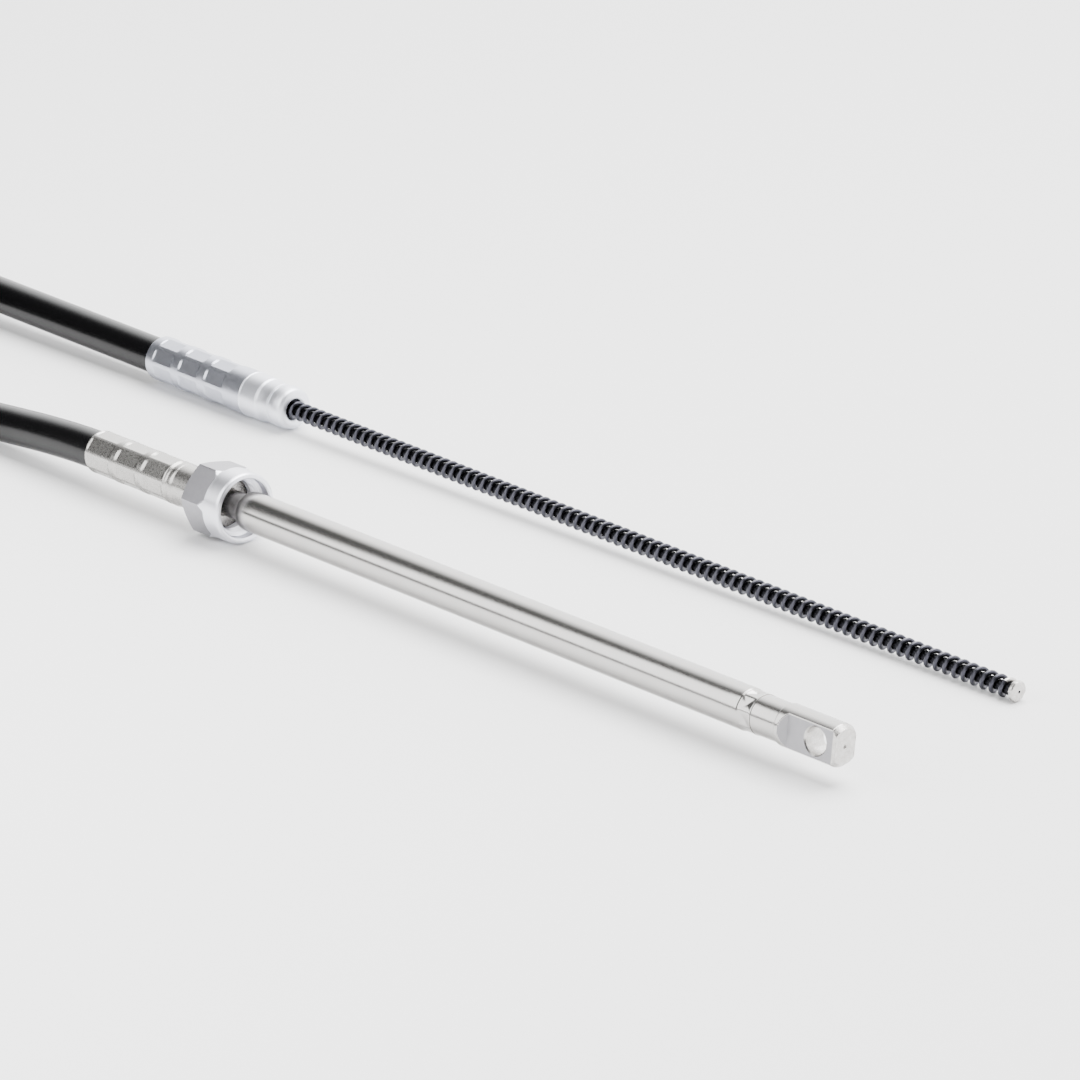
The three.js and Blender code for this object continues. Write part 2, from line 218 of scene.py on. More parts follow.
# Stainless steel pressed in a crimping die: duller and mottled
CRIMPED_STEEL = Metal(
    "crimped stainless steel", "#b8b6b3", "#a9a7a4", 0.28, spread=0.04, grain_mm=0.8,
    bump_mm=0.0015, patch_mm=4.0,
)
# Milled steel: an even grey with very fine marks along it
MILLED_STEEL = Metal(
    "milled steel", "#98979a", "#8b8a8d", 0.4, spread=0.05, grain=Grain.DRAWN, grain_mm=0.4,
    bump_mm=0.003, patch_mm=4.0,
)
# Freshly cut steel: near white, with greyer patches. Also used as a painted highlight, on a thin
# ring at the ram eye's shoulder
CUT_STEEL_AND_HIGHLIGHT = Metal(
    "freshly cut steel and painted highlight", "#d6d4d2", "#a5a29e", 0.32, spread=0.08, grain_mm=0.6, bump_mm=0.03,
    patch_mm=1.6,
)
# Crimped aluminium: pale and bluish
CRIMPED_ALUMINIUM = Metal(
    "crimped aluminium", "#c9cbd4", "#bbbec9", 0.34, spread=0.05, grain_mm=0.9, bump_mm=0.003,
    patch_mm=5.0,
)
# Turned aluminium: bright, with a broad soft sheen
TURNED_ALUMINIUM = Metal(
    "turned aluminium", "#eceef4", "#e2e4ec", 0.42, spread=0.04, grain=Grain.TURNED,
    bump_mm=0.003, patch_mm=5.0,
)
# Bar steel with a fine frosted plating: an even grey, painted darker than the turned faces' copy of
# the same plating
FROSTED_PLATING = Metal(
    "frosted nickel plating", "#a2a1a5", "#949398", 0.4, spread=0.06, grain_mm=0.35,
    bump_mm=0.006, patch_mm=2.0,
)
# The same plating on turned faces: smoother, and painted brighter, a painted highlight for the
# light they catch
BRIGHT_PLATING = Metal(
    "turned nickel plating painted bright", "#ececf2", "#dfe0e7", 0.34, spread=0.06, grain=Grain.TURNED,
    patch_mm=2.0,
)
# Dark drawn wire under a film of oil
OILED_WIRE = Metal(
    "oiled drawn wire", "#4c4c54", "#3a3a40", 0.34, spread=0.06, grain=Grain.DRAWN, grain_mm=0.6,
    patch_mm=3.0,
)
# The strand between the turns: darker, in the turns' shade
STRAND_WIRE = Metal(
    "strand wire", "#2c2c30", "#18181b", 0.42, spread=0.08, grain=Grain.DRAWN, bump_mm=0.01,
    patch_mm=9.0,
)


@dataclass(frozen=True)
class Line:
    """A straight centre line in the row frame, in millimetres."""

    start: np.ndarray
    along: np.ndarray

    def place(self, station: np.ndarray, radius: np.ndarray, angle: np.ndarray) -> np.ndarray:
        """Points at stations along the line, at a radius and an angle round it.

        Args:
            station: distances from the start.
            radius: distances from the line.
            angle: radians from +Y towards +Z.

        Returns:
            Start + station * along + radius * (cos(angle) * side + sin(angle) * up).
        """
        side = np.cross([0.0, 0.0, 1.0], self.along)
        side /= np.linalg.norm(side)
        up = np.cross(self.along, side)
        station, radius, angle = np.broadcast_arrays(station, radius, angle)
        return (
            self.start
            + station[..., None] * self.along
            + (radius * np.cos(angle))[..., None] * side
            + (radius * np.sin(angle))[..., None] * up
        )


def soften(corners: Sequence[Corner], closed: bool = False, steps: int = 5) -> np.ndarray:
    """Rounds the corners of a profile.

    Args:
        corners: station, radius and rounding of each corner.
        closed: whether the profile comes back to its first corner.
        steps: points on each rounding.

    Returns:
        Points (station, radius). Each rounded corner becomes the parabola that leaves one edge at
        the rounding's distance and meets the next edge at the same distance.
    """
    points = np.array([c[:2] for c in corners], float)
    out: list[np.ndarray] = []
    count = len(corners)
    t = np.linspace(0, 1, steps)[:, None]
    for i, (_, _, rounding) in enumerate(corners):
        here = points[i]
        at_end = not closed and i in (0, count - 1)
        if rounding <= 0 or at_end:
            out.append(here[None])
            continue
        back, ahead = points[i - 1] - here, points[(i + 1) % count] - here
        a = here + back * min(rounding / np.linalg.norm(back), 0.45)
        b = here + ahead * min(rounding / np.linalg.norm(ahead), 0.45)
        out.append((1 - t) ** 2 * a + 2 * t * (1 - t) * here + t**2 * b)
    return np.concatenate(out)


def refine(
    profile: np.ndarray, step: float | Callable[[np.ndarray], float], closed: bool = False
) -> np.ndarray:
    """Adds points to a profile so that none are further apart than a step.

    Args:
        profile: points (station, radius).
        step: the widest gap, or what gives it for the middle of an edge.
        closed: whether the last point joins the first.

    Returns:
        The profile with each long edge cut into equal parts.
    """
    following = np.roll(profile, -1, axis=0) if closed else profile[1:]
    out: list[np.ndarray] = []
    for a, b in zip(profile if closed else profile[:-1], following, strict=True):
        widest = step((a + b) / 2) if callable(step) else step
        cuts = max(1, math.ceil(np.linalg.norm(b - a) / widest))
        out.append(a + (b - a) * np.arange(cuts)[:, None] / cuts)
    if not closed:
        out.append(profile[-1:])
    return np.concatenate(out)


def closed_faces(rows: int, columns: int, ring: bool) -> np.ndarray:
    """Corner numbers of the quads of a grid that goes round, and whose rows may also close."""
    last = rows if ring else rows - 1
    row, column = np.meshgrid(np.arange(last), np.arange(columns), indexing="ij")
    below, right = (row + 1) % rows, (column + 1) % columns
    corners = [(row, column), (row, right), (below, right), (below, column)]
    return np.stack([r * columns + c for r, c in corners], -1).reshape(-1, 4)


def volume_of(points: np.ndarray, quads: np.ndarray) -> float:
    """The signed volume: a sixth of the sum of a . (b x c) over each quad's two triangles."""
    a, b, c, d = (points[quads[:, i]] for i in range(4))
    return float(((a * np.cross(b, c)).sum(1) + (a * np.cross(c, d)).sum(1)).sum() / 6)


def make_piece(
    name: str,
    grid: np.ndarray,
    finishes: Sequence[Metal | Jacket],
    ring: bool = False,
    finish_of: Callable[[np.ndarray], np.ndarray] | None = None,
    sharp_deg: float = 35.0,
) -> bpy.types.Object:
    """Makes a closed mesh piece from a grid of points.

    Args:
        name: the piece's name.
        grid: points in millimetres, rows by columns, whose columns go round.
        finishes: the piece's finishes.
        ring: whether the last row joins the first. If not, each end gets a flat cap.
        finish_of: takes the faces' middles, as row numbers, and gives material numbers.
        sharp_deg: edges with a bend over this angle are shown sharp.

    Returns:
        The new object, at the origin.
    """
    rows, columns = grid.shape[:2]
    points = grid.reshape(-1, 3)
    quads = closed_faces(rows, columns, ring)
    face_row = np.repeat(np.arange(len(quads) // columns), columns)
    tips = np.zeros((0, 3), int)
    inside_out = volume_of(points - points.mean(0), quads) < 0
    if not ring:
        caps = np.stack([grid[0].mean(0), grid[-1].mean(0)])
        first = np.arange(columns)
        last = first + (rows - 1) * columns
        poles = len(points), len(points) + 1
        tips = np.concatenate([
            np.stack([np.full(columns, poles[0]), np.roll(first, -1), first], -1),
            np.stack([np.full(columns, poles[1]), last, np.roll(last, -1)], -1),
        ])
        points = np.concatenate([points, caps])
    if inside_out:
        quads, tips = quads[:, ::-1], tips[:, ::-1]
    mesh = bpy.data.meshes.new(name)
    mesh.from_pydata((points * MM).tolist(), [], quads.tolist() + tips.tolist())
    if finish_of is not None:
        chosen = np.concatenate([finish_of(face_row), np.zeros(len(tips), int)]).astype(np.int32)
        mesh.polygons.foreach_set("material_index", chosen)
    for finish in finishes:
        mesh.materials.append(finish.material())
    mesh.shade_smooth()
    mesh.set_sharp_from_angle(angle=math.radians(sharp_deg))
    piece = bpy.data.objects.new(name, mesh)
    bpy.context.scene.collection.objects.link(piece)
    return piece


def even_columns(count: int) -> np.ndarray:
    """Angles spread evenly round a turn."""
    return np.arange(count) * TAU / count


def turned_grid(
    line: Line, profile: np.ndarray, angles: np.ndarray, shape: Callable | None = None
) -> np.ndarray:
    """The surface that a profile sweeps round a line.

    Args:
        line: the centre line.
        profile: points (station, radius).
        angles: the angles of the columns.
        shape: takes stations, radii and angles and gives the radii, for what isn't round.

    Returns:
        Points, one row for each profile point and one column for each angle.
    """
    station, angle = np.meshgrid(profile[:, 0], angles, indexing="ij")
    radius = np.repeat(profile[:, 1:2], len(angles), axis=1)
    if shape is not None:
        radius = shape(station, radius, angle)
    return line.place(station, radius, angle)


def off_nearest(angle: np.ndarray, first_deg: float, count: int) -> np.ndarray:
    """Signed angles from the nearest of some directions, spread evenly from a first one."""
    turn = TAU / count
    return (angle - math.radians(first_deg) + turn / 2) % turn - turn / 2


@dataclass(frozen=True)
class CrimpRows:
    """Rows of flat pads that a die has pressed into a sleeve."""

    radius: float
    depth: float
    turn_deg: float  # angle of the first pad's middle
    rows: tuple[tuple[float, float], ...]  # start and end station of each row
    pads: int = 8
    wall: float = 0.8  # length of a row's sloping ends

    def columns(self) -> np.ndarray:
        """Angles round the sleeve, with a column on each edge of each pad.

        Returns:
            Radians. A pad ends where its plane meets the round sleeve, at the angle whose cosine is
            1 - depth / radius.
        """
        half = math.degrees(math.acos(1 - self.depth / self.radius))
        share = 360 / self.pads / 2
        one = np.concatenate([
            np.linspace(-share, -half, 4)[:-1],
            np.linspace(-half, half, 15),
            np.linspace(half, share, 4)[1:-1],
        ])
        starts = self.turn_deg + np.arange(self.pads)[:, None] * 360 / self.pads
        return np.radians(starts + one[None]).ravel()

    def press(self, station: np.ndarray, radius: np.ndarray, angle: np.ndarray) -> np.ndarray:
        """Radii after pressing: a pad is the plane (radius - depth) / cos(angle off)."""
        plane = (self.radius - self.depth) / np.cos(off_nearest(angle, self.turn_deg, self.pads))
        out = radius.copy()
        outer = radius > self.radius - 0.3  # the bore isn't pressed
        for start, end in self.rows:
            inside = np.clip(np.minimum(station - start, end - station) / self.wall, 0, 1)
            pressed = np.minimum(radius, plane)
            out = np.where(outer, out + (pressed - radius) * inside, out)
        return out


@dataclass
class Conduit:
    """The black conduit, one cable from the helm ferrule round its coil to the output ferrule."""

    offset: np.ndarray  # from the route's own origin, on the floor under the ram's rear end
    radius: float = 7.9
    bore: float = 4.5
    bore_depth: float = 178.0  # from the path's start, a little further than the core slides back
    helm_exit: Point = (-187.1, 102.0, 10.53)
    helm_rise: float = 2.6  # of the coil's first points over the table
    output_rise: float = 4.6  # of its last points, before they climb over the outer turn
    coil_middle: tuple[float, float] = (-395.0, 14.1)
    outer_turn: float = 87.9
    inner_turn: float = 72.1
    sides: int = 40
    cuts: int = 8  # points for each chosen point of the route

    # From inside the helm ferrule back to the coil, along the ferrule's lean and down to the table
    helm_route: tuple[Point, ...] = (
        (-165, 102, 10.24), (-187, 102, 10.53), (-215, 102, 10.9), (-245, 102, 11.29),
        (-275, 102, 11.68), (-305, 102, 12.07), (-335, 102, 12.42), (-352, 102, 12.4),
        (-368, 102, 11.9), (-382, 102, 11.2),
    )
    # From the coil's inner turn over the outer one, down to the table, up to the output ferrule
    output_route: tuple[Point, ...] = (
        (-382, -58, 15.6), (-369, -58, 19.6), (-356, -58, 22.9), (-343, -57.6, 24.3),
        (-329, -56.3, 24.0), (-312, -52.9, 22.3), (-294, -47.4, 19.3), (-274, -39.3, 15.6),
        (-252, -28.7, 12.0), (-232, -19.0, 9.6), (-212, -10.7, 8.6), (-192, -4.8, 8.7),
        (-172, -1.3, 9.6), (-152, -0.1, 11.1), (-132, 0, 12.8), (-113, 0, 14.0), (-95.5, 0, 14.5),
        (-78, 0, 14.5),
    )

    def coil(self) -> np.ndarray:
        """The coil's one and a half turns: a circle whose radius shrinks in its second half turn.

        Returns:
            Points of middle + radius * (cos, sin) from the north to the south, at 24 a turn.
        """
        north, south, end = 90, 270, 630
        degrees = np.arange(north, end + 1, 15.0)
        shrink = np.clip((degrees - south) / 180, 0, 1)
        ease = shrink**2 * (3 - 2 * shrink)
        radius = self.outer_turn + (self.inner_turn - self.outer_turn) * ease
        height = np.full_like(degrees, self.radius)
        height += self.helm_rise * np.clip((north + 60 - degrees) / 60, 0, 1) ** 2
        height += self.output_rise * np.clip((degrees - end + 30) / 30, 0, 1) ** 2
        a = np.radians(degrees)
        x, y = self.coil_middle
        return np.stack([x + radius * np.cos(a), y + radius * np.sin(a), height], -1)

    def centre_line(self) -> np.ndarray:
        """The cable's whole centre line.

        Returns:
            Points about 3 mm apart, in millimetres in the row frame, on the smooth curve through
            the chosen points: between two of them it is the cubic with the slopes
            (next - previous) / 2.
        """
        chosen = np.concatenate([self.helm_route, self.coil(), self.output_route]).astype(float)
        chosen[:, 2] = np.maximum(chosen[:, 2], self.radius)
        before, after = 2 * chosen[:1] - chosen[1:2], 2 * chosen[-1:] - chosen[-2:-1]
        ends = np.concatenate([before, chosen, after])
        p0, p1, p2, p3 = ends[:-3], ends[1:-2], ends[2:-1], ends[3:]
        t = np.arange(self.cuts)[:, None, None] / self.cuts
        square = (2 * p0 - 5 * p1 + 4 * p2 - p3) * t**2
        cube = (3 * p1 - p0 - 3 * p2 + p3) * t**3
        curve = 0.5 * (2 * p1 + (p2 - p0) * t + square + cube)
        points = np.concatenate([curve.transpose(1, 0, 2).reshape(-1, 3), chosen[-1:]])
        return points + self.offset

    def tube(self, line: np.ndarray) -> np.ndarray:
        """A round tube along a line, hollow from its start as far back as the core slides.

        Args:
            line: points of the centre line.

        Returns:
            Rows from the bore's blind end forward to the start, and back along the outside. Each is
            a circle in the plane of up' = up - (up . tangent) * tangent and side = tangent x up'.
        """
        tangent = np.gradient(line, axis=0)
        tangent /= np.linalg.norm(tangent, axis=1)[:, None]
        up = np.array([0.0, 0.0, 1.0]) - tangent[:, 2:3] * tangent
        up /= np.linalg.norm(up, axis=1)[:, None]
        side = np.cross(tangent, up)
        a = even_columns(self.sides)
        ring = np.cos(a)[None, :, None] * side[:, None] + np.sin(a)[None, :, None] * up[:, None]
        walked = np.cumsum(np.linalg.norm(np.diff(line, axis=0), axis=1))
        deepest = int(np.searchsorted(walked, self.bore_depth))
        rows = np.concatenate([np.arange(deepest, -1, -1), np.arange(len(line))])
        radius = np.where(np.arange(len(rows)) <= deepest, self.bore, self.radius)
        return line[rows][:, None] + radius[:, None, None] * ring[rows]

    def build(self) -> bpy.types.Object:
        line = self.centre_line()
        piece = make_piece("steering_conduit", self.tube(line), [Jacket()])
        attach(piece, "cable")
        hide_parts("conduit_helm_run", "conduit_coil", "conduit_output_run")
        return piece


@dataclass
class HelmFerrule:
    """The crimped aluminium sleeve at the helm end, with its turned band and its rounded nose."""

    line: Line  # starts at the nose face
    length: float = 90.4
    radius: float = 9.7
    socket: tuple[float, float] = (48.0, 8.0)  # depth and radius
    bore: float = 4.5
    band: tuple[float, float] = (-26.4, -16.0)
    groove: float = -8.2
    nose: float = 9.3
    ridge_height: float = 0.03  # of the fine ridges on the turned band
    ridge_gap: float = 1.3
    crimp: CrimpRows = field(
        default_factory=lambda: CrimpRows(
            9.7, 0.45, 151.5, ((-85.7, -72.8), (-68.0, -55.1), (-50.4, -37.5))
        )
    )

    def profile(self) -> np.ndarray:
        """The sleeve's section: crimped length, raised line, turned band, neck, nose and bore."""
        rear, (depth, socket) = -self.length, self.socket
        band, step = self.band
        outer: list[Corner] = [
            (rear, socket, 0.15), (rear, self.radius, 0.9), (band - 0.5, self.radius, 0.1),
            (band - 0.1, self.radius + 0.15, 0.1), (band + 0.15, self.radius + 0.15, 0.1),
            (band + 0.5, self.radius - 0.12, 0.1), (step, self.radius - 0.1, 0.25),
            (step + 0.7, self.radius - 0.65, 0.4), (step + 4.2, 8.85, 3.0),
            (self.groove - 0.5, 9.05, 0.2), (self.groove - 0.1, 8.35, 0.15),
            (self.groove + 0.4, 8.35, 0.15), (self.groove + 0.9, self.nose - 0.15, 0.4),
            (-4.4, self.nose, 1.2), (-0.9, self.nose - 0.55, 1.5), (0, self.nose - 2.3, 0.8),
            (0, self.bore + 0.7, 0.12), (-0.7, self.bore, 0.12), (rear + depth, self.bore, 0),
            (rear + depth, socket, 0),
        ]
        return refine(soften(outer, closed=True), 0.55, closed=True)

    def ridges(self, station: np.ndarray, radius: np.ndarray, angle: np.ndarray) -> np.ndarray:
        """The crimps, and fine ridges on the band: radius + height * sin(turn * station / gap)."""
        band, step = self.band
        inside = np.clip(np.minimum(station - band - 0.9, step - 0.4 - station) / 0.4, 0, 1)
        outer = radius > self.radius - 0.4
        fine = self.ridge_height * np.sin(TAU * station / self.ridge_gap) * inside * outer
        return self.crimp.press(station, radius, angle) + fine

    def build(self) -> bpy.types.Object:
        """Makes the sleeve, bright in front of its crimped length."""
        profile = self.profile()
        grid = turned_grid(self.line, profile, self.crimp.columns(), self.ridges)
        bright = (profile[:, 0] > self.band[0] - 0.3).astype(int)
        piece = make_piece(
            "crimped_helm_ferrule", grid, [CRIMPED_ALUMINIUM, TURNED_ALUMINIUM],
            ring=True, finish_of=lambda row: bright[row], sharp_deg=12,
        )
        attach(piece, "cable")
        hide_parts("helm_ferrule")
        LOG.info("helm ferrule: %d faces", len(piece.data.polygons))
        return piece


@dataclass
class HelicalCore:
    """The core at the helm end: a strand, the wire wound round it and their fused, cut end."""

    line: Line  # starts at the nose face
    radius: float = 4.08
    wire: float = 1.85
    pitch: float = 4.64
    phase_deg: float = 0.0
    overrun: float = 6.0  # how far the last turn reaches into the fused end
    turn_steps: int = 26
    wire_sides: int = 10
    fused_rows: int = 16  # of the winding, at its cut end
    inside: float = 12.0
    outside: float = 402.4
    tip_radius: float = 3.85
    strand_radius: float = 2.15
    strand_wires: int = 9
    strand_lay: float = 22.0
    strand_reach: float = 2.2  # past the visible length, up to the fused end
    lobe_depth: float = 0.32

    def winding(self) -> bpy.types.Object:
        """The wound wire: a circle carried along a left-handed helix.

        Returns:
            The piece. Its centre line is station t at the angle -turn * t / pitch, and each circle
            lies in the plane of the outward direction and tangent x outward.
        """
        length = self.inside + self.outside + self.overrun - self.wire
        steps = int(length / self.pitch * self.turn_steps)
        t = np.linspace(0, length, steps + 1)
        angle = math.radians(self.phase_deg) - TAU * t / self.pitch
        middle = self.radius - self.wire / 2
        centre = self.line.place(t - self.inside + self.wire / 2, np.full_like(t, middle), angle)
        axis = self.line.place(t - self.inside + self.wire / 2, np.zeros_like(t), angle)
        outward = (centre - axis) / middle
        tangent = np.gradient(centre, axis=0)
        tangent /= np.linalg.norm(tangent, axis=1)[:, None]
        across = np.cross(tangent, outward)
        a = even_columns(self.wire_sides)[None, :, None]
        ring = np.cos(a) * outward[:, None] + np.sin(a) * across[:, None]
        grid = centre[:, None] + self.wire / 2 * ring
        fused = np.arange(len(t)) > len(t) - self.fused_rows
        piece = make_piece(
            "helix_winding", grid, [OILED_WIRE, CUT_STEEL_AND_HIGHLIGHT],
            finish_of=lambda row: fused[row].astype(int),
        )
        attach(piece, "core")
        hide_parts("helix_wire")
        return piece

    def strand(self) -> bpy.types.Object:
        """The strand: a bar whose radius has one round lobe for each wire, turning along its lay.

        Returns:
            The piece. Its radius is r - depth * (1 - |cos(half the wires' angle)|), up to the
            fused end, where the lobes fade into an uneven cut disc.
        """
        end = self.outside + self.strand_reach
        tip = self.tip_radius
        start = np.arange(-self.inside, end - 1.2, 0.55)
        profile = np.concatenate([
            np.stack([start, np.full_like(start, self.strand_radius)], -1),
            [(end - 1.2, 2.3), (end - 0.2, 2.45), (end + 0.5, 2.6), (end + 2.6, 2.7),
             (end + 3.6, 2.9), (end + 3.9, tip), (end + 4.5, tip + 0.15), (end + 5.2, tip + 0.1),
             (end + 5.6, tip - 0.2), (end + 5.9, 2.6), (end + 5.7, 1.4), (end + 5.9, 0.6)],
        ])

        def lobes(station: np.ndarray, radius: np.ndarray, angle: np.ndarray) -> np.ndarray:
            turn = self.strand_wires * (angle - TAU * station / self.strand_lay) / 2
            fade = np.clip((end + 1 - station) / 2, 0, 1)
            rough = 0.16 * np.sin(3 * angle + 1) + 0.1 * np.sin(7 * angle + station)
            rough += 0.06 * np.sin(13 * angle)
            cut = np.clip((station - end - 3.4) / 0.6, 0, 1) * np.clip(radius / 3, 0, 1)
            lobe = self.lobe_depth * (1 - np.abs(np.cos(turn)))
            return radius - lobe * fade + np.minimum(rough, 0.1) * cut

        fused = profile[:, 0] > end + 3.2
        piece = make_piece(
            "inner_strand", turned_grid(self.line, profile, even_columns(72), lobes),
            [STRAND_WIRE, CUT_STEEL_AND_HIGHLIGHT],
            finish_of=lambda row: fused[row].astype(int), sharp_deg=30,
        )
        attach(piece, "core")
        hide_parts("core_strand")
        return piece

    def build(self) -> list[bpy.types.Object]:
        """Makes the wire and the strand."""
        pieces = [self.winding(), self.strand()]
        LOG.info("helical core: %.0f turns", (self.inside + self.outside) / self.pitch)
        return pieces


@dataclass
class OutputFerrule:
    """The crimped stainless sleeve at the output end, up to the flange inside the nut."""

    line: Line  # starts at the ram's rear end
    rear: float = -95.5
    radius: float = 8.95
    socket: tuple[float, float] = (47.0, 8.05)
    flange: tuple[float, float, float] = (-21.7, -14.2, 10.2)
    neck: float = 8.8
    guide: float = 5.9
    guide_depth: float = 29.3
    bore: float = 3.4
    crimp: CrimpRows = field(
        default_factory=lambda: CrimpRows(
            8.95, 0.5, 141.0, ((-94.9, -80.0), (-76.4, -62.4), (-59.2, -45.2))
        )
    )

    def profile(self) -> np.ndarray:
        """The sleeve's section: crimped length, two grooves, neck, flange and stepped bore."""
        (depth, socket), (rear, front, flange) = self.socket, self.flange
        corners: list[Corner] = [
            (self.rear, socket, 0.12), (self.rear, self.radius, 0.7), (-44.6, self.radius, 0.3),
            (-43.6, 8.2, 0.5), (-42.6, 8.2, 0.3),
            (-42.2, self.radius, 0.35), (-40.4, self.radius, 0.35),
            (-39.4, self.neck - 0.15, 0.4), (rear, self.neck - 0.15, 0), (rear, flange, 0.3),
            (front, flange, 0.3), (front, self.guide, 0.1),
            (front - self.guide_depth, self.guide, 0), (front - self.guide_depth, self.bore, 0),
            (self.rear + depth, self.bore, 0),
            (self.rear + depth, socket, 0),
        ]
        return refine(soften(corners, closed=True), 0.7, closed=True)

    def build(self) -> bpy.types.Object:
        """Makes the sleeve."""
        grid = turned_grid(self.line, self.profile(), self.crimp.columns(), self.crimp.press)
        piece = make_piece(
            "crimped_output_ferrule", grid, [CRIMPED_STEEL], ring=True, sharp_deg=12
        )
        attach(piece, "cable")
        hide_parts("output_ferrule")
        LOG.info("output ferrule: %d faces", len(piece.data.polygons))
        return piece


@dataclass
class GuideTube:
    """The tube that the ram slides on, and the rod inside it."""

    line: Line  # starts at the ram's rear end
    rear: float = -43.2
    front: float = 262.0
    radius: float = 5.6
    bore: float = 3.4
    rod: float = 3.0
    rod_rear: float = -8.0
    rod_front: float = 267.7

    def build(self) -> list[bpy.types.Object]:
        """Makes the tube and the rod."""
        tube: list[Corner] = [
            (self.rear, self.bore, 0.2), (self.rear, self.radius, 0.2),
            (self.front, self.radius, 0.4), (self.front, self.bore, 0.2),
        ]
        rod: list[Corner] = [
            (self.rod_rear, self.rod * 0.5, 0), (self.rod_rear, self.rod, 0.3),
            (self.rod_front, self.rod, 0.3), (self.rod_front, self.rod * 0.5, 0),
        ]
        tube_grid = turned_grid(self.line, refine(soften(tube, True), 12, True), even_columns(64))
        rod_grid = turned_grid(self.line, refine(soften(rod), 12), even_columns(32))
        outer = make_piece("sliding_guide", tube_grid, [GROUND_STEEL], ring=True)
        inner = make_piece("push_rod", rod_grid, [OILED_WIRE])
        for piece, body, slot, node in (
            (outer, "cable", "stainless", "guide_tube"), (inner, "rod", "core_steel", "inner_rod"),
        ):
            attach(piece, body)
            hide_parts(node)
        LOG.info("guide tube and push rod")
        return [outer, inner]


@dataclass
class CouplingNut:
    """The nut: a hexagon with turned corners, a round collar, and a thread inside."""

    line: Line  # starts at the ram's rear end
    rear: float = -25.5
    hexagon: float = 13.5
    length: float = 22.8
    flats: float = 27.0
    collar: float = 14.5
    turn_deg: float = 8.5
    throat: float = 9.1
    throat_length: float = 3.5
    mouth: float = 12.1
    mouth_depth: float = 4.0
    thread: float = 11.1
    thread_depth: float = 0.95
    thread_pitch: float = 25.4 / 14

    def profile(self) -> np.ndarray:
        """The nut's section, over its corners, round its lip and back through its bore."""
        rear, front = self.rear, self.rear + self.length
        corner = self.flats / math.sqrt(3)
        shoulder = rear + self.hexagon
        corners: list[Corner] = [
            (rear, self.throat, 0.2), (rear, self.flats / 2 - 0.4, 0.1),
            (rear + 1.6, corner + 0.15, 0.1),
            (shoulder - 2.3, corner + 0.15, 0.1), (shoulder, self.collar + 0.1, 0.5),
            (front - 1.6, self.collar, 0.3), (front - 0.5, self.collar - 0.25, 0.5),
            (front, self.collar - 0.8, 0.3),
            (front, self.mouth + 0.6, 0.15), (front - 0.5, self.mouth, 0.15),
            (front - self.mouth_depth, self.mouth, 0.2),
            (front - self.mouth_depth - 0.8, self.thread, 0.1),
            (rear + self.throat_length, self.thread, 0),
            (rear + self.throat_length, self.throat, 0),
        ]
        return refine(soften(corners, closed=True), 0.18, closed=True)

    def plane(self, angle: np.ndarray) -> np.ndarray:
        """Distances of the flats from the centre line: half their width / cos(angle off)."""
        return self.flats / 2 / np.cos(off_nearest(angle, 30 - self.turn_deg, 6))

    def shape(self, station: np.ndarray, radius: np.ndarray, angle: np.ndarray) -> np.ndarray:
        """Cuts the six flats and the thread.

        Returns:
            Outside, the smaller of the turned radius and the flats' distance. On the thread, the
            radius less its depth times a wave that rises and falls in straight slopes once each
            pitch, cut flat at its crests and roots, and moved on by one pitch each turn.
        """
        outer = radius > self.mouth + 0.9
        on_hexagon = outer & (station < self.rear + self.hexagon + 0.4)
        cut = np.where(on_hexagon, np.minimum(radius, self.plane(angle)), radius)
        first = self.rear + self.throat_length
        last = self.rear + self.length - self.mouth_depth - 0.5
        wave = np.abs((station / self.thread_pitch - angle / TAU) % 1 * 2 - 1)
        tooth = np.clip(wave * 1.35 - 0.12, 0, 1)
        inside = np.clip(np.minimum(station - first - 1.2, last - station) / 0.8, 0, 1)
        threaded = np.abs(radius - self.thread) < 0.02
        return np.where(threaded, cut - self.thread_depth * tooth * inside, cut)

    def build(self) -> bpy.types.Object:
        """Makes the nut, frosted on its flats and painted bright on its turned faces, as a painted
        highlight.
        """
        profile = self.profile()
        grid = turned_grid(self.line, profile, even_columns(240), self.shape)
        station, radius = profile.T
        chamfer = (radius > self.flats / 2 - 0.1) & (
            (station > self.rear + self.hexagon - 2.35) | (station < self.rear + 1.6)
        )
        bright = (chamfer | (station > self.rear + self.hexagon - 0.1)).astype(int)
        piece = make_piece(
            "threaded_coupling_nut", grid, [FROSTED_PLATING, BRIGHT_PLATING],
            ring=True, finish_of=lambda row: bright[row], sharp_deg=20,
        )
        self.brighten_corners(piece, grid, bright)
        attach(piece, "nut")
        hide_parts("coupling_nut")
        LOG.info("coupling nut: %d faces", len(piece.data.polygons))
        return piece

    def brighten_corners(
        self, piece: bpy.types.Object, grid: np.ndarray, bright: np.ndarray
    ) -> None:
        """Gives the flats' finish back to what the hexagon's planes left of the chamfer rows.

        Args:
            piece: the nut.
            grid: its points.
            bright: 1 for each row on a turned face.
        """
        rows, columns = grid.shape[:2]
        offset = grid - self.line.start
        station = offset @ self.line.along
        radius = np.linalg.norm(offset - station[..., None] * self.line.along, axis=2)
        angle = np.tile(even_columns(columns), (rows, 1))
        on_plane = np.abs(radius - self.plane(angle)) < 0.02
        on_hexagon = station < self.rear + self.hexagon - 0.05
        chosen = np.where(on_plane & on_hexagon, 0, bright[:, None]).ravel().astype(np.int32)
        piece.data.polygons.foreach_set("material_index", chosen)


